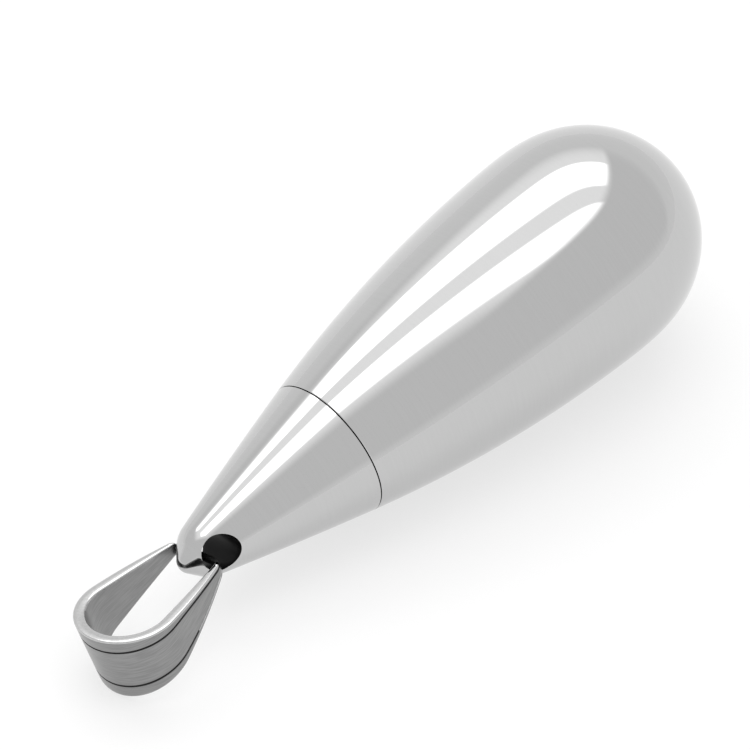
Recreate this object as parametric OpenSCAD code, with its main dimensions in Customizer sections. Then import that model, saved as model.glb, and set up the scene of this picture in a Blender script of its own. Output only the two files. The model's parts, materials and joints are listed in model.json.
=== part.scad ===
// Keepsake urn pendant: a hollow steel teardrop that opens at its seam, hung on a bent strip bail.
// It lies on a table on its belly, with the bail lying beside its point. Millimetres, +Z up.
// The origin is on the table, under the middle of the whole pendant.

/* [Urn body] */
// Diameter at the seam between the bulb and the cap
seam_dia = 8.06; // [7.6:0.02:8.4]
// Slope of the outline at the seam, in degrees
seam_slope = 14.13; // [13:0.1:15]
// Greatest diameter of the bulb
belly_dia = 12.7; // [12.2:0.1:13.2]
// Distance from the seam to the greatest diameter
belly_x = 18.73; // [18:0.05:19]
// Distance from the seam to the round end
end_x = 25.4; // [25.2:0.05:25.6]
// Radius of the arc between the belly and the round end
shoulder_r = 6.985; // [6.95:0.005:7.05]
// Diameter of the chamber
chamber_dia = 4.2; // [3:0.1:5.6]
// Depth of the chamber from the seam
chamber_depth = 15; // [10:0.5:20]

/* [Cap] */
// Radius of the long arc that the cap's side follows
side_r = 300; // [200:10:600]
// Distance from the seam to where the nose begins to round
nose_x = 9.1; // [9:0.05:9.4]
// Radius of the rounding between the side and the nose
nose_fillet = 2; // [1.5:0.1:2.5]
// Slope of the nose, in degrees
nose_slope = 46.4; // [42:0.2:50]
// Radius of the very point
point_r = 0.67; // [0.5:0.01:0.8]
// Distance from the seam to the middle of the cross hole
hole_x = 8.9; // [8.7:0.05:9]
// Diameter of the cross hole
hole_dia = 2.03; // [1.9:0.01:2.1]
// Diameter of the hidden stub that holds the cap in the mouth
stub_dia = 4.6; // [4:0.1:5.9]
// Length of the stub
stub_len = 5; // [3:0.25:6]
// Gap between the stub and the bore of the mouth, on the radius
stub_clearance = 0.05; // [0.03:0.01:0.1]
// Gap between the cap and the body at the seam
seam_gap = 0.05; // [0.03:0.01:0.1]
// Broken edge at the seam
seam_edge = 0.05; // [0.02:0.01:0.1]

/* [Bail] */
// Distance from the cross hole to the outside of the bend
bail_len = 8.69; // [8.5:0.01:9]
// Outside radius of the bend
bend_r = 2.83; // [2.7:0.01:3]
// Angle that the bend turns on each side before the leg begins, in degrees
bend_angle = 97.8; // [97:0.1:98.4]
// Radius of the arc that the outside of a leg follows
leg_r = 29; // [27:1:32]
// Radius of the arc that the inside of a leg follows
leg_inside_r = 146; // [130:2:160]
// Thickness of the strip at the bend
strip_t = 0.61; // [0.58:0.01:0.64]
// Width of the strip at the bend
strip_w = 4.65; // [4.2:0.05:5]
// Width of the strip at its rounded ends
strip_end_w = 0.9; // [0.8:0.02:0.94]
// Distance from the middle of the cross hole to the middle of a rounded end
strip_end_x = 0.95; // [0.9:0.01:1]
// Radius of the fold at each end of the strip, over the mouth of the cross hole
fold_r = 1.02; // [0.9:0.02:1.1]
// Distance from the middle of the cross hole to where the fold begins
fold_x = 1.1; // [1:0.02:1.2]
// Distance of each engraved line from the middle of the strip, at the bend
line_offset = 1.39; // [1.2:0.01:1.6]
// Slope of the engraved lines towards the middle, in degrees
line_slope = 5.4; // [5:0.1:8]
// Width of the engraved lines
line_w = 0.13; // [0.1:0.01:0.2]
// Depth of the engraved lines
line_depth = 0.08; // [0.05:0.01:0.12]
// Diameter of the hidden bar that joins the strip's ends
bar_dia = 0.44; // [0.36:0.02:0.46]
// Distance from the middle of the cross hole to the bar, towards the bend
bar_x = 0.53; // [0.45:0.01:0.55]

/* [How it lies] */
// Tilt of the urn, with its point lower than its round end, in degrees
lie_tilt = 5.7; // [4:0.1:7]
// Roll of the cross hole from upright about the urn's length, in degrees
lie_roll = 61.6; // [60:0.1:63]
// Swing of the bail about the cross hole, in degrees
bail_swing = 8.17; // [8:0.01:9]
// Lift of the bail out of square with the cross hole, in degrees
bail_lift = 4.9; // [4:0.1:5]
// Twist of the loose bail in the cross hole, in degrees
bail_twist = 17.5; // [16:0.5:18]
// Distance from the table's origin to the seam, lengthwise and sideways
seam_at = [-3.7493, 0];

/* [Hidden] */
$fn = 128;
smooth = 360;
seam_r = seam_dia / 2;
belly_r = belly_dia / 2;
// The bulb's long arc leaves the seam and is level at the belly
rise = belly_r - seam_r;
bulb_r = (belly_x ^ 2 + rise ^ 2) / (2 * rise);
// The round end is a ball that the shoulder's arc runs into
end_reach = end_x - belly_x;
shoulder_drop = shoulder_r - belly_r;
end_r = (shoulder_r ^ 2 - end_reach ^ 2 - shoulder_drop ^ 2) / (2 * (shoulder_r - end_reach));
end_ball_x = end_x - end_r;
shoulder_x = belly_x + shoulder_r * (end_ball_x - belly_x) / (shoulder_r - end_r);
// The cap's side, its nose and its point run into each other
side_centre = [seam_r - side_r * cos(seam_slope), side_r * sin(seam_slope)];
nose_turn = asin((side_centre.y + nose_x) / side_r);
nose_r = side_centre.x + side_r * cos(nose_turn);
fillet_centre = [nose_r - nose_fillet * cos(nose_turn), -nose_x + nose_fillet * sin(nose_turn)];
nose_end = fillet_centre + nose_fillet * [cos(nose_slope), -sin(nose_slope)];
point_x = nose_end.y - (nose_end.x * cos(nose_slope) - point_r) / sin(nose_slope);
point_touch = [point_r * cos(nose_slope), point_x - point_r * sin(nose_slope)];
// Arcs that run into each other change over just past the place where they touch
bulb_lap = 0.4;
nose_lap = 0.1;
hair = 0.004;
// The mouth's bore is a little deeper than the stub is long
mouth_dia = stub_dia + 2 * stub_clearance;
mouth_depth = stub_len + 0.6;
drill_point = 118;
stub_chamfer = 0.3;
// The strip's bend has its centre on the middle line of the bail
bend_x = bail_len - bend_r;
reach = 40;
// The outside of a leg is an arc that runs into the arc of the fold
leg_away = leg_r - bend_r;
leg_centre = [bend_x - leg_away * cos(bend_angle), -leg_away * sin(bend_angle)];
fold_turn = acos((fold_x - leg_centre.x) / leg_r);
fold_centre = leg_centre + (leg_r - fold_r) * [cos(fold_turn), sin(fold_turn)];
fold_lap = 0.08;
// The belly's arc touches the table
rest_height = bulb_r - (bulb_r - belly_r) * cos(lie_tilt) - belly_x * sin(lie_tilt);

// Turns an outline of radius and distance from the seam about the urn's length, which is X
module turned() {
    rotate([0, 90, 0]) rotate_extrude() children();
}

// A disc, kept between two distances from the seam and outside the middle line
module arc_slice(radius, centre, from, to) {
    intersection() {
        translate(centre) circle(r = radius, $fn = smooth);
        translate([0, from]) square([reach, to - from]);
    }
}

// What the broken edge takes off the rim at the seam, towards the bulb or the cap
module rim_cut(face, side) {
    polygon([
        [seam_r - seam_edge, face],
        [seam_r + seam_edge, face],
        [seam_r + seam_edge, face + side * 2 * seam_edge]
    ]);
}

module bulb_outline() {
    face = seam_gap / 2;
    difference() {
        arc_slice(bulb_r, [belly_r - bulb_r, belly_x], face, belly_x + bulb_lap);
        rim_cut(face, 1);
    }
    arc_slice(shoulder_r, [-shoulder_drop, belly_x], belly_x + bulb_lap / 2, shoulder_x + bulb_lap);
    arc_slice(end_r, [0, end_ball_x], shoulder_x + bulb_lap / 2, end_x + 1);
}

module cap_outline() {
    face = -seam_gap / 2;
    inset = hair * [cos(nose_slope), -sin(nose_slope)];
    difference() {
        arc_slice(side_r, side_centre, -nose_x - nose_lap, face);
        rim_cut(face, -1);
    }
    polygon([[0, -nose_x], [nose_r / 2, -nose_x], nose_end - inset, point_touch - inset, [0, point_x]]);
    arc_slice(nose_fillet, fillet_centre, -reach, -nose_x - nose_lap / 2);
    arc_slice(point_r, [0, point_x], -reach, -nose_x);
}

// A round hole or stub along the urn's length
module along(dia, from, to) {
    translate([from, 0, 0]) rotate([0, 90, 0]) cylinder(d = dia, h = to - from);
}

// Brings the urn from its own axis, with the cross hole upright, to where it lies
module as_it_lies() {
    translate([seam_at.x, seam_at.y, rest_height])
        rotate([0, -lie_tilt, 0]) rotate([lie_roll, 0, 0]) children();
}

module urn_body() {
    drill_tip = chamber_dia / 2 / tan(drill_point / 2);
    color("silver") as_it_lies() difference() {
        turned() bulb_outline();
        along(mouth_dia, -1, mouth_depth);
        along(chamber_dia, 0, chamber_depth);
        translate([chamber_depth, 0, 0]) rotate([0, 90, 0])
            cylinder(d1 = chamber_dia, d2 = 0, h = drill_tip);
    }
}

module cap() {
    color("silver") as_it_lies() difference() {
        union() {
            turned() cap_outline();
            along(stub_dia, -1, stub_len - stub_chamfer);
            translate([stub_len - stub_chamfer, 0, 0]) rotate([0, 90, 0])
                cylinder(d1 = stub_dia, d2 = stub_dia - 2 * stub_chamfer, h = stub_chamfer);
        }
        translate([-hole_x, 0, 0]) cylinder(d = hole_dia, h = seam_dia, center = true);
    }
}

// The large disc whose edge one leg follows, on one side of the bail's middle line
module leg_disc(radius, bend, side) {
    away = radius - bend;
    translate([bend_x - away * cos(bend_angle), -side * away * sin(bend_angle)])
        circle(r = radius, $fn = smooth);
}

// The bail's side view: a round bend, and two legs that close in on the cross hole
module loop_outline(bend, leg) {
    touch_x = bend_x + bend * cos(bend_angle);
    translate([bend_x, 0]) circle(r = bend);
    intersection() {
        leg_disc(leg, bend, 1);
        leg_disc(leg, bend, -1);
        translate([0, -reach / 2]) square([touch_x + nose_lap, reach]);
    }
}

// The bail's face: a strip that narrows evenly from the bend to its rounded ends
module face_outline() {
    end_r = strip_end_w / 2;
    root = end_r - hair;
    translate([strip_end_x, 0]) circle(r = end_r);
    polygon([
        [strip_end_x, -root],
        [bail_len, -strip_w / 2],
        [bail_len, strip_w / 2],
        [strip_end_x, root]
    ]);
}

// The corner that the fold takes off the end of a leg and of the bar
module fold_cut() {
    linear_extrude(height = strip_w, center = true) difference() {
        translate([fold_x + fold_lap - reach, fold_centre.y]) square([reach, reach]);
        translate(fold_centre) circle(r = fold_r, $fn = smooth);
    }
}

// One engraved line round the outside of the strip
module engraved_line(side) {
    translate([bail_len, 0, side * line_offset]) rotate([0, side * line_slope, 0])
        translate([-bail_len, 0, 0]) linear_extrude(height = line_w, center = true)
            difference() {
                translate([-1, -reach / 4]) square([bail_len + 2, reach / 2]);
                loop_outline(bend_r - line_depth, leg_r - line_depth);
            }
}

// The strip with its two legs, before its lines are cut
module strip() {
    intersection() {
        linear_extrude(height = strip_w, center = true) difference() {
            loop_outline(bend_r, leg_r);
            loop_outline(bend_r - strip_t, leg_inside_r);
        }
        rotate([90, 0, 0]) linear_extrude(height = 3 * bend_r, center = true) face_outline();
    }
}

module bail() {
    color("gainsboro") as_it_lies() translate([-hole_x, 0, 0])
        rotate([bail_twist, bail_lift, bail_swing]) rotate([90, 0, 180]) difference() {
            union() {
                strip();
                translate([bar_x, 0, 0]) rotate([90, 0, 0]) cylinder(d = bar_dia, h = 2 * bend_x, center = true);
            }
            fold_cut();
            rotate([180, 0, 0]) fold_cut();
            engraved_line(1);
            engraved_line(-1);
        }
}

urn_body();
cap();
bail();
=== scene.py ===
"""Looks of a keepsake urn pendant: a polished steel teardrop with a screw cap on a bent strip bail.

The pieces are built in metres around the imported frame. The urn's own frame has X along the urn from its
point to its round end, with the seam at zero, and Z along the cap's cross hole.
"""

import json
import math

import bpy
import numpy as np
from mathutils import Euler, Matrix, Vector


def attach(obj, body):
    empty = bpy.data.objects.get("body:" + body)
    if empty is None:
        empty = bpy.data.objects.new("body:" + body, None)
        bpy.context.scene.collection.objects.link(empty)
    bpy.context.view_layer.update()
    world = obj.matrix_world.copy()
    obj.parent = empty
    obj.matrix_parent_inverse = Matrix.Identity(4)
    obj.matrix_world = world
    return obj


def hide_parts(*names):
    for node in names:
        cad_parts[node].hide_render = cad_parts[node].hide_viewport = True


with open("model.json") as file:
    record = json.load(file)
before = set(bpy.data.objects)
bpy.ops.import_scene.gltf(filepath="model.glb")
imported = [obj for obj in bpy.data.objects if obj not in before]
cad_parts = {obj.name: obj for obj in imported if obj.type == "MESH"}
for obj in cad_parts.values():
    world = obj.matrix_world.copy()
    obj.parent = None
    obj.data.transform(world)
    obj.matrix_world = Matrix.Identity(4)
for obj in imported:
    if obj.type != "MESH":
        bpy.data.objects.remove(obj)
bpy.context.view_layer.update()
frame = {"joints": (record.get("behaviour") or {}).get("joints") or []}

bl_info = {
    "name": "Keepsake Urn Pendant",
    "version": (1, 0, 0),
    "blender": (4, 5, 0),
    "location": "View3D > Sidebar > Urn Pendant",
    "description": "Builds a polished steel teardrop urn on a strip bail, and the studio that it lies in",
    "category": "Add Mesh",
}

MM = 0.001
SENSOR = 36.0
WHITE = (1.0, 1.0, 1.0)
EVEN = (1.0, 1.0, 1.0)
BUMP_DEPTH = 0.002 * MM
SHARP_ANGLE = math.radians(25.0)
JOINTS = {joint["name"]: joint for joint in frame["joints"]}
URN_AXIS = -Vector(JOINTS["cap_slide"]["axis"]).normalized()
HOLE_AXIS = Vector(JOINTS["bail_hinge"]["axis"]).normalized()
HOLE_AT = Vector(JOINTS["bail_hinge"]["pos_m"])


def length(name, description, millimetres):
    """A size property, given in millimetres and kept in metres."""
    return bpy.props.FloatProperty(
        name=name, description=description, default=millimetres * MM,
        unit="LENGTH", subtype="DISTANCE", precision=5, min=0.0,
    )


def angle(name, description, degrees):
    """An angle property, given in degrees."""
    return bpy.props.FloatProperty(
        name=name, description=description, default=math.radians(degrees),
        unit="ROTATION", subtype="ANGLE",
    )


def plain(name, description, default, low=0.0, high=10.0):
    """A plain number property."""
    return bpy.props.FloatProperty(
        name=name, description=description, default=default, min=low, max=high,
    )


def tint(name, description, default):
    """A colour property."""
    return bpy.props.FloatVectorProperty(
        name=name, description=description, default=default, subtype="COLOR", size=3, min=0.0, max=1.0,
    )


class UrnSizes(bpy.types.PropertyGroup):
    """Sizes of the bulb and of the cap."""

    seam_dia: length("Seam diameter", "Diameter at the seam between bulb and cap", 8.06)
    seam_slope: angle("Seam slope", "Slope of the outline at the seam", 14.13)
    seam_gap: length("Seam gap", "Gap between the cap and the body", 0.05)
    seam_edge: length("Seam edge", "Broken edge at the seam", 0.03)
    belly_dia: length("Belly diameter", "Greatest diameter, before the curvature is evened", 12.62)
    belly_x: length("Belly place", "Distance from the seam to the greatest diameter", 18.73)
    end_x: length("Round end", "Distance from the seam to the round end", 25.4)
    shoulder_r: length("Shoulder radius", "Radius of the arc between the belly and the round end", 6.985)
    mouth_dia: length("Mouth diameter", "Bore that takes the cap's stub", 4.7)
    mouth_depth: length("Mouth depth", "Depth of that bore from the seam", 5.6)
    evenness: length("Evenness", "Length over which the bulb's curvature changes", 1.2)
    chamber_dia: length("Chamber diameter", "Bore of the chamber", 4.2)
    chamber_depth: length("Chamber depth", "Depth of the chamber from the seam", 15.0)
    side_r: length("Side radius", "Radius of the long arc that the cap's side follows", 300.0)
    nose_x: length("Nose place", "Distance from the seam to where the nose begins", 9.1)
    nose_fillet: length("Nose rounding", "Rounding between the cap's side and the nose", 2.0)
    nose_slope: angle("Nose slope", "Slope of the nose", 46.4)
    point_r: length("Point radius", "Radius of the very point", 0.67)
    hole_x: length("Hole place", "Distance from the seam to the cross hole", 8.9)
    hole_dia: length("Hole diameter", "Diameter of the cross hole", 2.03)
    hole_edge: length("Hole edge", "Rounded edge of the cross hole", 0.03)
    stub_dia: length("Stub diameter", "Diameter of the stub in the mouth", 4.6)
    stub_len: length("Stub length", "Length of the stub", 5.0)
    stub_chamfer: length("Stub chamfer", "Chamfer at the stub's end", 0.3)
    steps: bpy.props.IntProperty(name="Steps", description="Steps round the urn", default=256, min=32)


class BailSizes(bpy.types.PropertyGroup):
    """Sizes of the strip bail, and how it lies in the cross hole."""

    reach: length("Length", "Distance from the cross hole to the outside of the bend", 8.69)
    bend_r: length("Bend radius", "Outside radius of the bend", 2.83)
    bend_angle: angle("Bend angle", "Turn of the bend on each side of the end", 97.8)
    leg_r: length("Leg radius", "Radius of the outside of a leg", 29.0)
    leg_inside_r: length("Leg inside radius", "Radius of the inside of a leg", 146.0)
    thickness: length("Thickness", "Thickness of the strip at the bend", 0.61)
    width: length("Width", "Width of the strip at the bend", 4.65)
    end_width: length("End width", "Width of the strip at its rounded ends", 0.9)
    end_x: length("End place", "Distance from the cross hole to the middle of a rounded end", 0.95)
    end_last: length("End", "Distance from the cross hole to the very end of the strip", 0.66)
    fold_r: length("Fold radius", "Radius of the fold at each end of the strip", 1.02)
    fold_x: length("Fold place", "Distance from the cross hole to where the fold begins", 1.1)
    edge_r: length("Edge radius", "Rounding of the strip's long edges", 0.1)
    line_offset: length("Line place", "Distance of each engraved line from the middle", 1.39)
    line_slope: angle("Line slope", "Slope of the engraved lines towards the middle", 5.4)
    line_w: length("Line width", "Width of the engraved lines", 0.13)
    line_depth: length("Line depth", "Depth of the engraved lines", 0.08)
    low_line_x: length("Lower line's end", "Distance from the cross hole to the lower line's end", 4.0)
    bar_dia: length("Bar diameter", "Diameter of the bar in the cross hole", 0.42)
    bar_x: length("Bar place", "Distance from the middle of the cross hole to the bar", 0.53)
    swing: angle("Swing", "Swing of the bail about the cross hole", 8.17)
    lift: angle("Lift", "Lift of the bail out of square with the cross hole", 4.9)
    twist: angle("Twist", "Twist of the loose bail in the cross hole", 17.5)


class SteelLook(bpy.types.PropertyGroup):
    """Colours and gloss of the steel."""

    mirror: tint("Mirror steel", "Colour of the polished urn", (0.53, 0.53, 0.53))
    satin: tint("Satin steel", "Colour of the bail's faces", (0.27, 0.27, 0.27))
    rim: tint("Rim steel", "Colour of the bail's polished rim", (0.52, 0.52, 0.52))
    # Near-black colour of the cross hole's wall: painted shade for the darkness inside the hole.
    hole: tint("Hole", "Colour in the dark cross hole", (0.004, 0.004, 0.004))
    groove: tint("Engraving", "Colour in the engraved lines", (0.05, 0.05, 0.05))
    mirror_roughness: plain("Mirror roughness", "Roughness of the polished urn", 0.035)
    satin_roughness: plain("Satin roughness", "Roughness of the bail's faces", 0.3)


class StudioLook(bpy.types.PropertyGroup):
    """The camera's angle, the pale floor and the light tent."""

    azimuth: angle("Azimuth", "Direction in which the camera looks, from +X towards +Y", 45.81)
    elevation: angle("Elevation", "Height of the camera above the floor", 46.95)
    distance: length("Distance", "Distance from the camera to the seam", 471.1)
    seam_right: length("Seam to the left", "How far left of the picture's middle the seam is", 2.462)
    seam_down: length("Seam below", "How far below the picture's middle the seam is", 3.856)
    lens: plain("Lens", "Focal length in millimetres", 432.0, 1.0, 5000.0)
    floor_side: length("Floor side", "Side of the floor", 8000.0)
    floor_colour: tint("Floor colour", "Colour of the floor", (0.33, 0.33, 0.33))
    floor_glow: plain("Floor glow", "Light of the backlit floor itself", 0.62)
    low_light: plain("Low light", "Light near the floor, all round", 0.99)
    near_light: plain("Near light", "Light from the camera's side", 0.87)
    tent_light: plain("Tent light", "Light from overhead between the soft boxes", 1.34)
    far_light: plain("Far light", "Light from the far side, low down", 0.97)
    box_light: plain("Box light", "Light of the soft boxes", 3.0)


class Num:
    """A number socket of a shader, with the arithmetic that the shaders use."""

    def __init__(self, graph, socket):
        self.graph = graph
        self.socket = socket

    def math(self, operation, *others):
        inputs = {index: value for index, value in enumerate((self, *others))}
        return self.graph.number("ShaderNodeMath", {"operation": operation}, inputs)

    def __add__(self, other):
        return self.math("ADD", other)

    def __radd__(self, other):
        return self.math("ADD", other)

    def __sub__(self, other):
        return self.math("SUBTRACT", other)

    def __rsub__(self, other):
        inputs = {0: other, 1: self}
        return self.graph.number("ShaderNodeMath", {"operation": "SUBTRACT"}, inputs)

    def __mul__(self, other):
        return self.math("MULTIPLY", other)

    def __rmul__(self, other):
        return self.math("MULTIPLY", other)

    def __truediv__(self, other):
        return self.math("DIVIDE", other)

    def at_least(self, other):
        return self.math("MAXIMUM", other)

    def rise(self, low, high):
        """0 below low, 1 above high, and smooth between."""
        settings = {"interpolation_type": "SMOOTHSTEP"}
        inputs = {"Value": self, "From Min": low, "From Max": high}
        return self.graph.number("ShaderNodeMapRange", settings, inputs)


class Graph:
    """A node tree that is written from empty."""

    def __init__(self, tree):
        self.tree = tree
        tree.nodes.clear()

    def node(self, kind, settings, inputs):
        """Adds a node: its settings first, then the values or links of its sockets."""
        made = self.tree.nodes.new(kind)
        for key, value in settings.items():
            setattr(made, key, value)
        for key, value in inputs.items():
            if isinstance(value, Num):
                self.tree.links.new(value.socket, made.inputs[key])
            elif isinstance(value, bpy.types.NodeSocket):
                self.tree.links.new(value, made.inputs[key])
            else:
                made.inputs[key].default_value = value
        return made

    def number(self, kind, settings, inputs, output=0):
        return Num(self, self.node(kind, settings, inputs).outputs[output])


def colour4(colour):
    return (*colour, 1.0)


def new_material(name):
    material = bpy.data.materials.new(name)
    material.use_nodes = True
    return material, Graph(material.node_tree)


def stretched_noise(graph, stretch, scale, detail=4.0, own=Matrix.Identity(4)):
    """Noise over a piece, with a stretch along each axis of the piece's own frame."""
    turn = own.to_3x3().transposed().to_euler()
    place = graph.node("ShaderNodeTexCoord", {}, {}).outputs["Object"]
    turned = graph.node("ShaderNodeMapping", {}, {"Vector": place, "Rotation": turn}).outputs[0]
    mapped = graph.node("ShaderNodeMapping", {}, {"Vector": turned, "Scale": stretch}).outputs[0]
    inputs = {"Vector": mapped, "Scale": scale, "Detail": detail}
    return graph.number("ShaderNodeTexNoise", {}, inputs, "Fac")


def mixed(graph, factor, first, second):
    """A colour between two others."""
    inputs = {"Factor": factor, 6: colour4(first), 7: colour4(second)}
    return graph.node("ShaderNodeMix", {"data_type": "RGBA"}, inputs).outputs[2]


def steel(name, own, colour, roughness, spread, stretch, scale, grain, contrast=0.04, shine=None):
    """Bare steel, with fine marks that follow the stretch in its colour, gloss and relief."""
    material, graph = new_material(name)
    marks = stretched_noise(graph, stretch, scale, own=own)
    cloud = stretched_noise(graph, EVEN, 150.0, 2.0)
    dark = [channel * (1.0 - contrast) for channel in colour]
    light = [min(1.0, channel * (1.0 + contrast)) for channel in colour]
    shade = mixed(graph, marks.rise(0.3, 0.7), dark, light)
    gloss = marks * spread + cloud * spread * 0.5 + (roughness - spread * 0.75)
    relief = {"Height": marks, "Strength": grain, "Distance": BUMP_DEPTH}
    normal = graph.node("ShaderNodeBump", {}, relief).outputs[0]
    inputs = {"Base Color": shade, "Metallic": 1.0, "Roughness": gloss, "Normal": normal}
    if shine is not None:
        inputs.update({"Metallic": 0.0, "Specular IOR Level": shine})
    shader = graph.node("ShaderNodeBsdfPrincipled", {}, inputs)
    graph.node("ShaderNodeOutputMaterial", {}, {"Surface": shader.outputs[0]})
    return material


def mirror_steel(name):
    """The urn's polish, with the faintest turned marks round it."""
    look = bpy.context.scene.pendant_steel
    stretch = (1.0, 0.05, 0.05)
    return steel(name, urn_frame(), look.mirror, look.mirror_roughness, 0.01, stretch, 9000.0, 0.01, 0.008)


def satin_steel():
    """The bail's faces, brushed along the strip."""
    look = bpy.context.scene.pendant_steel
    stretch = (0.06, 0.06, 1.0)
    own = bail_frame()
    return steel("bail_satin", own, look.satin, look.satin_roughness, 0.1, stretch, 14000.0, 0.5, 0.12)


def rim_steel():
    """The bail's polished rim."""
    look = bpy.context.scene.pendant_steel
    return steel("bail_rim", bail_frame(), look.rim, 0.12, 0.03, (1.0, 1.0, 0.2), 6000.0, 0.1)


def engraved_steel():
    """The dark engraved lines."""
    look = bpy.context.scene.pendant_steel
    return steel("bail_engraving", bail_frame(), look.groove, 0.5, 0.1, EVEN, 12000.0, 0.5)


def painted_hole_shade():
    """The unpolished wall of the cross hole, near black with a faint shine: painted shade for the darkness
    inside the hole.
    """
    look = bpy.context.scene.pendant_steel
    stretch = (1.0, 1.0, 0.2)
    return steel("cross_hole_painted_shade", urn_frame(), look.hole, 0.3, 0.1, stretch, 9000.0, 0.6, shine=0.06)


def floor_white():
    """Plain pale paper."""
    material, graph = new_material("floor_white")
    cloud = stretched_noise(graph, EVEN, 30.0)
    colour = bpy.context.scene.pendant_studio.floor_colour
    shade = mixed(graph, cloud, colour, [channel * 0.995 for channel in colour])
    inputs = {
        "Base Color": shade,
        "Roughness": 0.95,
        "Specular IOR Level": 0.0,
        "Emission Color": colour4(WHITE),
        "Emission Strength": bpy.context.scene.pendant_studio.floor_glow,
    }
    shader = graph.node("ShaderNodeBsdfPrincipled", {}, inputs)
    graph.node("ShaderNodeOutputMaterial", {}, {"Surface": shader.outputs[0]})
    return material


def urn_frame():
    """The urn's own frame in the world: seam at the origin, X to the round end, Z along the cross hole."""
    sizes = bpy.context.scene.pendant_urn
    across = HOLE_AXIS.cross(URN_AXIS).normalized()
    up = URN_AXIS.cross(across)
    seam = HOLE_AT + URN_AXIS * sizes.hole_x
    turn = Matrix((URN_AXIS, across, up)).transposed()
    return Matrix.Translation(seam) @ turn.to_4x4()


def bail_frame():
    """The bail's own frame: X to its bend, Y across its two legs, Z across the strip."""
    sizes = bpy.context.scene.pendant_bail
    hole = Matrix.Translation((-bpy.context.scene.pendant_urn.hole_x, 0.0, 0.0))
    lie = Euler((sizes.twist, sizes.lift, sizes.swing)).to_matrix().to_4x4()
    turned = Euler((math.radians(90.0), 0.0, math.radians(180.0))).to_matrix().to_4x4()
    return urn_frame() @ hole @ lie @ turned


def new_piece(name, points, faces, materials, place, slots=None):
    """A smooth mesh piece with its sharp edges marked, its points put at their place in the world."""
    mesh = bpy.data.meshes.new(name)
    mesh.from_pydata([place @ Vector(point) for point in points], [], faces)
    mesh.validate()
    for material in materials:
        mesh.materials.append(material)
    if slots is not None:
        mesh.polygons.foreach_set("material_index", slots)
    mesh.shade_smooth()
    mesh.set_sharp_from_angle(angle=SHARP_ANGLE)
    piece = bpy.data.objects.new(name, mesh)
    bpy.context.scene.collection.objects.link(piece)
    return piece


def arc(centre, radius, start, end, count):
    """Points of an arc. Its angles are measured from square to the urn's axis, towards the round end."""
    turns = np.linspace(start, end, count)
    return [(centre[0] + radius * math.sin(t), centre[1] + radius * math.cos(t)) for t in turns]


def straight(start, end, count):
    """Points of a straight stretch, its first one left out."""
    return [tuple(np.add(start, np.subtract(end, start) * i / count)) for i in range(1, count + 1)]


def revolve(outline, steps, skip=None):
    """Turns an outline of distance and radius about X. It leaves out the faces that skip names."""
    turns = np.arange(steps) * 2.0 * math.pi / steps
    points = []
    rows = []
    for x, radius in outline:
        if radius < 1e-9:
            rows.append([len(points)] * steps)
            points.append((x, 0.0, 0.0))
            continue
        rows.append(list(range(len(points), len(points) + steps)))
        points.extend((x, -radius * math.sin(t), radius * math.cos(t)) for t in turns)
    faces = []
    for i, (row, after) in enumerate(zip(rows, rows[1:])):
        for j in range(steps):
            if skip is not None and skip(i, j):
                continue
            k = (j + 1) % steps
            corners = (row[j], after[j], after[k], row[k])
            face = tuple(dict.fromkeys(corners))
            if len(face) > 2:
                faces.append(face)
    return points, faces, rows


BULB_ROWS = 240
FINE_STEPS = 8
DRILL_POINT = math.radians(59.0)


def evened(outline, spread):
    """The bulb's outline, from its round end to the seam, with its changes of curvature spread out."""
    points = np.array(outline)
    steps = np.diff(points, axis=0)
    along = np.concatenate([[0.0], np.cumsum(np.hypot(steps[:, 0], steps[:, 1]))])
    middles = (along[1:] + along[:-1]) / 2.0
    heading = np.unwrap(np.arctan2(steps[:, 1], steps[:, 0]))
    places = np.linspace(0.0, along[-1], FINE_STEPS * BULB_ROWS + 1)
    step = places[1]
    turn = np.interp(places, middles, heading)
    pad = round(4.0 * spread / step)
    bend = (turn[-1] - turn[-1 - pad]) / pad
    before = math.pi - turn[pad:0:-1]
    after = turn[-1] + bend * np.arange(1, pad + 1)
    weights = np.exp(-0.5 * (np.arange(-pad, pad + 1) * step / spread) ** 2)
    turn = np.convolve(np.concatenate([before, turn, after]), weights / weights.sum(), "valid")
    halves = (turn[1:] + turn[:-1]) / 2.0
    walked = np.cumsum(np.column_stack([np.cos(halves), np.sin(halves)]) * step, axis=0)
    walked = np.vstack([[0.0, 0.0], walked]) + points[0]
    walked += np.outer(places / along[-1], points[-1] - walked[-1])
    return [tuple(point) for point in walked[::FINE_STEPS]]


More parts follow.
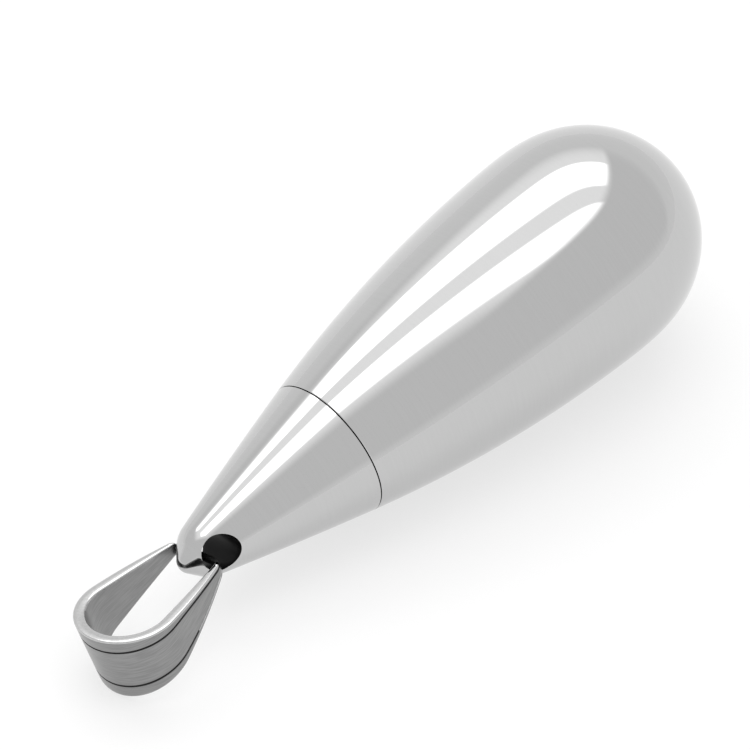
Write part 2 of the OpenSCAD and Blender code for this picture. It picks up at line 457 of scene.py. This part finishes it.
def body_outline(sizes):
    """The bulb from its round end to the mouth, and on through the mouth into the chamber."""
    seam_r = sizes.seam_dia / 2.0
    belly_r = sizes.belly_dia / 2.0
    rise = belly_r - seam_r
    bulb_r = (sizes.belly_x ** 2 + rise ** 2) / (2.0 * rise)
    end_reach = sizes.end_x - sizes.belly_x
    drop = sizes.shoulder_r - belly_r
    end_r = (sizes.shoulder_r ** 2 - end_reach ** 2 - drop ** 2) / (2.0 * (sizes.shoulder_r - end_reach))
    end_ball = sizes.end_x - end_r
    meet = math.atan2(end_ball - sizes.belly_x, drop)
    face_x = sizes.seam_gap / 2.0
    rim_x = face_x + sizes.seam_edge
    start = math.asin((rim_x - sizes.belly_x) / bulb_r)
    mouth_r = sizes.mouth_dia / 2.0
    chamber_r = sizes.chamber_dia / 2.0
    outline = arc((end_ball, 0.0), end_r, math.radians(90.0), meet, 48)
    outline[0] = (sizes.end_x, 0.0)
    outline += arc((sizes.belly_x, -drop), sizes.shoulder_r, meet, 0.0, 56)[1:]
    outline += arc((sizes.belly_x, belly_r - bulb_r), bulb_r, 0.0, start, 110)[1:]
    outline = evened(outline, sizes.evenness)
    outline += straight(outline[-1], (face_x, outline[-1][1] - sizes.seam_edge), 2)
    corner = (face_x, mouth_r + sizes.seam_edge)
    outline += straight(outline[-1], corner, 4)
    outline += straight(corner, (face_x + sizes.seam_edge, mouth_r), 1)
    outline += straight(outline[-1], (sizes.mouth_depth, mouth_r), 8)
    outline += straight(outline[-1], (sizes.mouth_depth, chamber_r), 1)
    outline += straight(outline[-1], (sizes.chamber_depth, chamber_r), 12)
    drill_tip = chamber_r / math.tan(DRILL_POINT)
    outline += straight(outline[-1], (sizes.chamber_depth + drill_tip, 0.0), 6)
    return outline


class CapForm:
    """The cap's side, nose and point, worked out once from the sizes."""

    def __init__(self, sizes):
        self.sizes = sizes
        seam_r = sizes.seam_dia / 2.0
        slope = sizes.seam_slope
        self.side = (sizes.side_r * math.sin(slope), seam_r - sizes.side_r * math.cos(slope))
        self.turn = math.asin((self.side[0] + sizes.nose_x) / sizes.side_r)
        nose_r = self.side[1] + sizes.side_r * math.cos(self.turn)
        fillet = sizes.nose_fillet
        lean = sizes.nose_slope
        self.fillet = (-sizes.nose_x + fillet * math.sin(self.turn), nose_r - fillet * math.cos(self.turn))
        self.nose_end = (self.fillet[0] - fillet * math.sin(lean), self.fillet[1] + fillet * math.cos(lean))
        self.point_x = self.nose_end[0] - (self.nose_end[1] * math.cos(lean) - sizes.point_r) / math.sin(lean)
        self.touch = (self.point_x - sizes.point_r * math.sin(lean), sizes.point_r * math.cos(lean))

    def radius(self, x):
        """The cap's radius at a distance from the seam."""
        sizes = self.sizes
        if x >= -sizes.nose_x:
            return self.side[1] + math.sqrt(sizes.side_r ** 2 - (x - self.side[0]) ** 2)
        if x >= self.nose_end[0]:
            return self.fillet[1] + math.sqrt(sizes.nose_fillet ** 2 - (x - self.fillet[0]) ** 2)
        if x >= self.touch[0]:
            part = (x - self.touch[0]) / (self.nose_end[0] - self.touch[0])
            return self.touch[1] + part * (self.nose_end[1] - self.touch[1])
        return math.sqrt(max(0.0, sizes.point_r ** 2 - (x - self.point_x) ** 2))

    def on_surface(self, x, turn):
        radius = self.radius(x)
        return (x, -radius * math.sin(turn), radius * math.cos(turn))


def cap_outline(form, window):
    """The cap from its point to the stub's end, with the window's rows numbered from the first one."""
    sizes = form.sizes
    point = arc((form.point_x, 0.0), sizes.point_r, math.radians(-90.0), -sizes.nose_slope, 16)
    point[0] = (form.point_x - sizes.point_r, 0.0)
    outline = point + straight(form.touch, (window[0], form.radius(window[0])), 6)
    first = len(outline) - 1
    stops = np.linspace(window[0], window[1], WINDOW_ROWS + 1)[1:]
    outline += [(x, form.radius(x)) for x in stops]
    face_x = -sizes.seam_gap / 2.0
    rim_x = face_x - sizes.seam_edge
    outline += [(x, form.radius(x)) for x in np.linspace(window[1], rim_x, 60)[1:]]
    outline += straight(outline[-1], (face_x, outline[-1][1] - sizes.seam_edge), 2)
    stub_r = sizes.stub_dia / 2.0
    outline += straight(outline[-1], (face_x, stub_r), 4)
    shoulder = (sizes.stub_len - sizes.stub_chamfer, stub_r)
    outline += straight(outline[-1], shoulder, 12)
    outline += straight(shoulder, (sizes.stub_len, stub_r - sizes.stub_chamfer), 2)
    outline += straight(outline[-1], (sizes.stub_len, 0.0), 4)
    return outline, first


WINDOW_BEFORE = 1.4 * MM
WINDOW_BEHIND = 1.5 * MM
WINDOW_TURN = 62.0 / 360.0
WINDOW_ROWS = 58
PATCH_RINGS = 26
EDGE_PARTS = (0.2, 0.4, 0.6, 0.8, 1.0)
WALL_SPANS = 8


def window_loop(rows, first, half, centre, steps):
    """The grid points round a window, as index and place in rows and columns, in one direction."""
    loop = []
    left, right = centre - half, centre + half
    top, bottom = first, first + WINDOW_ROWS
    loop += [(top, column) for column in range(left, right)]
    loop += [(row, right) for row in range(top, bottom)]
    loop += [(bottom, column) for column in range(right, left, -1)]
    loop += [(row, left) for row in range(bottom, top, -1)]
    return [(rows[row][column % steps], row, column) for row, column in loop]


def hole_patch(form, points, faces, loop, outline, side, steps):
    """Fills the window round one mouth of the cross hole, and returns the ring of points inside its edge."""
    sizes = form.sizes
    hole_r = sizes.hole_dia / 2.0
    edge = sizes.hole_edge
    middle = 0.0 if side > 0 else math.pi
    rings = [[index for index, _, _ in loop]]
    bearings = []
    for _, row, column in loop:
        x = outline[row][0]
        turn = column * 2.0 * math.pi / steps - middle
        bearings.append((x, turn, math.atan2(turn * form.radius(-sizes.hole_x), x + sizes.hole_x)))

    def height(x, y):
        return math.sqrt(form.radius(x) ** 2 - y ** 2)

    def rim(bearing, reach):
        x = -sizes.hole_x + reach * math.cos(bearing)
        y = reach * math.sin(bearing)
        return x, math.asin(y / form.radius(x))

    for i in range(1, PATCH_RINGS + 1):
        part = 1.0 - (1.0 - i / PATCH_RINGS) ** 1.8
        ring = []
        for x, turn, bearing in bearings:
            rim_x, rim_turn = rim(bearing, hole_r + edge)
            at = (x + (rim_x - x) * part, turn + (rim_turn - turn) * part)
            ring.append(len(points))
            points.append(form.on_surface(at[0], at[1] + middle))
        rings.append(ring)
    for part in EDGE_PARTS:
        ring = []
        for _, _, bearing in bearings:
            reach = hole_r + edge * (1.0 - part) ** 2
            x = -sizes.hole_x + reach * math.cos(bearing)
            y = reach * math.sin(bearing)
            ring.append(len(points))
            points.append((x, -side * y, side * (height(x, y) - edge * part ** 2)))
        rings.append(ring)
    for ring, after in zip(rings, rings[1:]):
        for j in range(len(ring)):
            k = (j + 1) % len(ring)
            faces.append((ring[j], after[j], after[k], ring[k]))
    return rings[-1]


def join_rings(points, faces, top, bottom):
    """The wall of the cross hole between its two mouths."""
    rows = [top]
    for i in range(1, WALL_SPANS):
        row = []
        for a, b in zip(top, bottom):
            row.append(len(points))
            points.append(Vector(points[a]).lerp(Vector(points[b]), i / WALL_SPANS))
        rows.append(row)
    rows.append(bottom)
    for row, after in zip(rows, rows[1:]):
        for j in range(len(row)):
            k = (j + 1) % len(row)
            faces.append((row[j], after[j], after[k], row[k]))


class PENDANT_OT_urn_body(bpy.types.Operator):
    """Turn the bulb of the urn, with its mouth and chamber"""

    bl_idname = "pendant.urn_body"
    bl_label = "Urn Body"

    def execute(self, context):
        sizes = context.scene.pendant_urn
        points, faces, _ = revolve(body_outline(sizes), sizes.steps)
        piece = new_piece("urn_bulb", points, faces, [mirror_steel("urn_mirror")], urn_frame())
        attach(piece, "urn")
        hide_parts("urn_body")
        return {"FINISHED"}


class PENDANT_OT_cap(bpy.types.Operator):
    """Turn the cap, with its cross hole and stub"""

    bl_idname = "pendant.cap"
    bl_label = "Cap"

    def execute(self, context):
        sizes = context.scene.pendant_urn
        form = CapForm(sizes)
        steps = sizes.steps
        window = (-sizes.hole_x - WINDOW_BEFORE, -sizes.hole_x + WINDOW_BEHIND)
        half = round(steps * WINDOW_TURN)
        outline, first = cap_outline(form, window)

        def in_window(row, column):
            inside = first <= row < first + WINDOW_ROWS
            near = min(column, steps - 1 - column) < half
            opposite = steps // 2 - half <= column < steps // 2 + half
            return inside and (near or opposite)

        points, faces, rows = revolve(outline, steps, in_window)
        mouths = []
        for side, centre in ((1, 0), (-1, steps // 2)):
            loop = window_loop(rows, first, half, centre, steps)
            mouths.append(hole_patch(form, points, faces, loop, outline, side, steps))
        bottom = matching_ring(points, mouths[0], mouths[1])
        wall = len(faces)
        join_rings(points, faces, mouths[0], bottom)
        # The hole's wall takes the near-black finish: painted shade inside the cross hole.
        slots = [0] * wall + [1] * (len(faces) - wall)
        finishes = [mirror_steel("cap_mirror"), painted_hole_shade()]
        piece = new_piece("urn_cap", points, faces, finishes, urn_frame(), slots)
        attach(piece, "cap")
        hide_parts("cap")
        return {"FINISHED"}


def matching_ring(points, top, bottom):
    """The lower mouth's ring in the order of the upper one's, by place along and across the urn."""
    low = np.array([points[index][:2] for index in bottom])
    order = []
    for index in top:
        gap = np.linalg.norm(low - np.array(points[index][:2]), axis=1)
        order.append(bottom[int(gap.argmin())])
    return order


FACE_PART, RIM_PART, LINE_PART = 0, 1, 2
LEG_STEPS = 90
BEND_STEPS = 110
CORNER_TURN = math.radians(72.0)
LEAST_STEP = 0.002 * MM


class StripForm:
    """The bail's side view and face, worked out once from the sizes."""

    def __init__(self, sizes):
        self.sizes = sizes
        self.bend_x = sizes.reach - sizes.bend_r
        self.end_r = sizes.end_width / 2.0
        self.grow = (sizes.width / 2.0 - self.end_r) / (sizes.reach - sizes.end_x)
        centre = self.leg_centre(sizes.bend_r, sizes.leg_r)
        turn = math.acos((sizes.fold_x - centre[0]) / sizes.leg_r)
        away = sizes.leg_r - sizes.fold_r
        self.fold = (centre[0] + away * math.cos(turn), centre[1] + away * math.sin(turn))

    def leg_centre(self, bend, leg):
        """Centre of a leg's arc, which runs into the bend."""
        away = leg - bend
        turn = self.sizes.bend_angle
        return self.bend_x - away * math.cos(turn), -away * math.sin(turn)

    def fold_reach(self, x):
        """How far from the middle the fold is, at a distance from the cross hole."""
        square = self.sizes.fold_r ** 2 - (x - self.fold[0]) ** 2
        return self.fold[1] + math.sqrt(max(0.0, square))

    def side(self, bend, leg, folded):
        """Points along one face of the strip, from one end round the bend to the other."""
        sizes = self.sizes
        centre = self.leg_centre(bend, leg)
        touch = self.bend_x + bend * math.cos(sizes.bend_angle)
        half = []
        for part in np.linspace(0.0, 1.0, LEG_STEPS):
            x = sizes.end_last + (touch - sizes.end_last) * part ** 2
            y = centre[1] + math.sqrt(leg ** 2 - (x - centre[0]) ** 2)
            if folded and x < sizes.fold_x:
                y = min(y, self.fold_reach(x))
            half.append((x, y))
        turns = np.linspace(sizes.bend_angle, 0.0, BEND_STEPS)[1:]
        half += [(self.bend_x + bend * math.cos(t), bend * math.sin(t)) for t in turns]
        return np.array(half + [(x, -y) for x, y in reversed(half[:-1])])

    def half_width(self, x):
        """Half of the strip's width at a distance from the cross hole."""
        past = x - self.sizes.end_x
        if past >= 0.0:
            return self.end_r + self.grow * past
        return math.sqrt(self.end_r ** 2 - past ** 2)

    def line_at(self, x):
        """The engraved line's distance from the middle."""
        sizes = self.sizes
        return sizes.line_offset - (sizes.reach - x) * math.tan(sizes.line_slope)


LINE_STOPS = (-1.6, -1.15, -0.9, -0.55, 0.0, 0.55, 0.9, 1.15, 1.6)
LINE_BAND = range(4, 10)
EDGE_STEPS = 5
CROWN_STEPS = 9


def eased_least(first, second, spread):
    """The lesser of two lengths, with an eased change from one to the other."""
    least = min(first, second)
    return least - spread * math.log1p(math.exp(-abs(first - second) / spread))


def strip_section(form, outer, inner):
    """Half of a section of the strip, from the middle of its outside round the rim to the inside.

    Each place has its distance from the middle, its depth as a part of the thickness, and the part
    of the strip that follows it.
    """
    sizes = form.sizes
    wide = form.half_width(outer[0])
    narrow = form.half_width(inner[0])
    thick = math.hypot(*(inner - outer))
    edge = min(sizes.edge_r, thick * 0.3)
    rim_half = thick / 2.0 - edge * (1.0 - math.cos(CORNER_TURN))
    crown = rim_half / math.tan(CORNER_TURN) / 2.0
    inset = edge * math.sin(CORNER_TURN) + crown
    flat = wide - inset
    half_line = sizes.line_w / 2.0
    line = eased_least(form.line_at(outer[0]), flat - 1.8 * half_line, sizes.line_w)
    shown = min(1.0, max(0.0, line / half_line - 2.0))
    section = []
    face_end = line + LINE_STOPS[0] * half_line
    stops = [0.0, 0.35 * face_end, 0.7 * face_end]
    stops += [line + part * half_line for part in LINE_STOPS]
    stops.append((stops[-1] + flat) / 2.0)
    for i, stop in enumerate(stops):
        v = min(stop, flat - (len(stops) - i) * LEAST_STEP)
        off = abs(stop - line) / half_line
        dip = sizes.line_depth * shown * min(1.0, max(0.0, 2.0 - 2.0 * off))
        section.append((v, dip / thick, LINE_PART if i in LINE_BAND and shown > 0.5 else FACE_PART))
    for turn in np.linspace(0.0, CORNER_TURN, EDGE_STEPS):
        depth = edge * (1.0 - math.cos(turn))
        section.append((flat + edge * math.sin(turn), depth / thick, RIM_PART))
    for part in np.linspace(-1.0, 1.0, CROWN_STEPS)[1:-1]:
        mean = wide + (narrow - wide) * (part + 1.0) / 2.0
        section.append((mean - crown * part ** 2, 0.5 + part * rim_half / thick, RIM_PART))
    for turn in np.linspace(CORNER_TURN, 0.0, EDGE_STEPS):
        depth = edge * (1.0 - math.cos(turn))
        section.append((narrow - inset + edge * math.sin(turn), 1.0 - depth / thick, RIM_PART))
    section[-1] = (*section[-1][:2], FACE_PART)
    section += [((narrow - inset) * part, 1.0, FACE_PART) for part in (0.66, 0.33, 0.0)]
    return section


class PENDANT_OT_bail(bpy.types.Operator):
    """Bend the strip bail, with its two engraved lines and its bar"""

    bl_idname = "pendant.bail"
    bl_label = "Bail"

    def execute(self, context):
        sizes = context.scene.pendant_bail
        form = StripForm(sizes)
        outside = form.side(sizes.bend_r, sizes.leg_r, True)
        inside = form.side(sizes.bend_r - sizes.thickness, sizes.leg_inside_r, False)
        points = []
        rows = []
        slots = []
        for outer, inner in zip(outside, inside):
            half = strip_section(form, outer, inner)
            whole = half + [(-v, q, part) for v, q, part in reversed(half[1:-1])]
            low_line = LINE_PART if outer[0] > sizes.low_line_x else FACE_PART
            row = []
            for v, q, _ in whole:
                at = outer + (inner - outer) * q
                row.append(len(points))
                points.append((at[0], at[1], v))
            parts = [part for _, _, part in half[:-1]]
            rows.append(row)
            slots.append(parts + [low_line if part == LINE_PART else part for part in reversed(parts)])
        faces = []
        for row, after in zip(rows, rows[1:]):
            for j, first in enumerate(row):
                k = (j + 1) % len(row)
                faces.append((first, row[k], after[k], after[j]))
        faces += [tuple(reversed(rows[0])), tuple(rows[-1])]
        slots = [part for parts in slots[:-1] for part in parts] + [RIM_PART, RIM_PART]
        finishes = [satin_steel(), rim_steel(), engraved_steel()]
        piece = new_piece("strip_bail", points, faces, finishes, bail_frame(), slots)
        add_bar(piece, sizes, form)
        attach(piece, "bail")
        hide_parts("bail")
        return {"FINISHED"}


BAR_STEPS = 24
BAR_SINK = 0.01 * MM


def add_bar(piece, sizes, form):
    """Joins the strip's ends with a round bar through the cross hole."""
    radius = sizes.bar_dia / 2.0
    points = []
    for side in (-1.0, 1.0):
        for i in range(BAR_STEPS):
            t = i * 2.0 * math.pi / BAR_STEPS
            x = sizes.bar_x + radius * math.cos(t)
            points.append((x, side * (form.fold_reach(x) - BAR_SINK), radius * math.sin(t)))
    nexts = [(i + 1) % BAR_STEPS for i in range(BAR_STEPS)]
    faces = [(i, i + BAR_STEPS, k + BAR_STEPS, k) for i, k in enumerate(nexts)]
    faces += [tuple(range(BAR_STEPS)), tuple(reversed(range(BAR_STEPS, 2 * BAR_STEPS)))]
    # The bar takes the dark engraving finish: painted shade for the darkness of the cross hole that it sits
    # in.
    bar = new_piece("bar", points, faces, [piece.data.materials[LINE_PART]], bail_frame())
    modifier = piece.modifiers.new("bar", "BOOLEAN")
    modifier.operation = "UNION"
    modifier.solver = "EXACT"
    modifier.object = bar
    bpy.context.view_layer.update()
    bpy.context.view_layer.objects.active = piece
    bpy.ops.object.modifier_apply(modifier=modifier.name)
    bpy.data.objects.remove(bar)


class PENDANT_OT_studio(bpy.types.Operator):
    """Set up the camera, the pale floor and the light tent"""

    bl_idname = "pendant.studio"
    bl_label = "Studio"

    def execute(self, context):
        look = context.scene.pendant_studio
        away = Vector((math.cos(look.azimuth), math.sin(look.azimuth), 0.0))
        right = Vector((math.sin(look.azimuth), -math.cos(look.azimuth), 0.0))
        back = Vector((0.0, 0.0, math.sin(look.elevation))) - away * math.cos(look.elevation)
        up = back.cross(right)
        middle = urn_frame().translation + right * look.seam_right + up * look.seam_down
        lens = bpy.data.cameras.new("camera")
        lens.sensor_width = SENSOR
        lens.lens = look.lens
        lens.clip_end = 100.0
        camera = bpy.data.objects.new("camera", lens)
        turn = Matrix((right, up, back)).transposed().to_4x4()
        camera.matrix_world = Matrix.Translation(middle + back * look.distance) @ turn
        context.scene.collection.objects.link(camera)
        context.scene.camera = camera
        half = look.floor_side / 2.0
        corners = [(-half, -half, 0.0), (half, -half, 0.0), (half, half, 0.0), (-half, half, 0.0)]
        floor = new_piece("floor", corners, [(0, 1, 2, 3)], [floor_white()], Matrix.Identity(4))
        light_tent(context.scene, look, away, right)
        context.scene.view_settings.view_transform = "Standard"
        return {"FINISHED"}


def band(place, low, high):
    """1 between two soft edges, each given by where it starts and ends, and 0 outside them."""
    return place.rise(*low) * (1.0 - place.rise(*high))


def light_tent(scene, look, away, right):
    """A pale tent with two long soft boxes overhead, square to the camera.

    Places in it are tangents: how far away from the camera, or to the right, per unit of height.
    """
    world = bpy.data.worlds.new("light_tent")
    scene.world = world
    world.use_nodes = True
    graph = Graph(world.node_tree)
    direction = graph.node("ShaderNodeTexCoord", {}, {}).outputs["Generated"]
    split = graph.node("ShaderNodeSeparateXYZ", {}, {"Vector": direction})
    x, y, z = (Num(graph, socket) for socket in split.outputs)
    height = z.at_least(0.02)
    far = (x * away.x + y * away.y) / height
    side = (x * right.x + y * right.y) / height
    tent = far.rise(-0.4, -0.12) * band(side, (-1.2, -0.6), (0.4, 0.56))
    low = far.rise(1.1, 2.4)
    light = look.near_light + tent * (look.tent_light - look.near_light)
    light = light + low * (look.far_light - light)
    haze = 1.0 - z.rise(0.0, 0.2)
    light = light + haze * (look.low_light - light)
    back_box = band(far, (0.38, 0.44), (0.95, 1.05)) * band(side, (-1.0, -0.78), (0.34, 0.5))
    top_box = band(far, (-0.17, -0.1), (0.13, 0.17)) * band(side, (-0.56, -0.4), (0.38, 0.54))
    boxes = (back_box + top_box) * (look.box_light - look.tent_light)
    strength = light + boxes
    shader = graph.node("ShaderNodeBackground", {}, {"Color": colour4(WHITE), "Strength": strength})
    graph.node("ShaderNodeOutputWorld", {}, {"Surface": shader.outputs[0]})


class PENDANT_PT_sidebar(bpy.types.Panel):
    """Buttons that build the pendant"""

    bl_label = "Urn Pendant"
    bl_idname = "PENDANT_PT_sidebar"
    bl_space_type = "VIEW_3D"
    bl_region_type = "UI"
    bl_category = "Urn Pendant"

    def draw(self, context):
        for step in STEPS:
            self.layout.operator(step.bl_idname)
        for group in GROUPS:
            self.layout.prop(context.scene, group)


GROUPS = {
    "pendant_urn": UrnSizes,
    "pendant_bail": BailSizes,
    "pendant_steel": SteelLook,
    "pendant_studio": StudioLook,
}
STEPS = (PENDANT_OT_studio, PENDANT_OT_urn_body, PENDANT_OT_cap, PENDANT_OT_bail)
CLASSES = (*GROUPS.values(), *STEPS, PENDANT_PT_sidebar)


def register():
    for item in CLASSES:
        bpy.utils.register_class(item)
    for name, group in GROUPS.items():
        setattr(bpy.types.Scene, name, bpy.props.PointerProperty(type=group))


def unregister():
    for name in GROUPS:
        delattr(bpy.types.Scene, name)
    for item in reversed(CLASSES):
        bpy.utils.unregister_class(item)


def main():
    register()
    bpy.ops.pendant.studio()
    bpy.ops.pendant.urn_body()
    bpy.ops.pendant.cap()
    bpy.ops.pendant.bail()


if __name__ == "__main__":
    main()
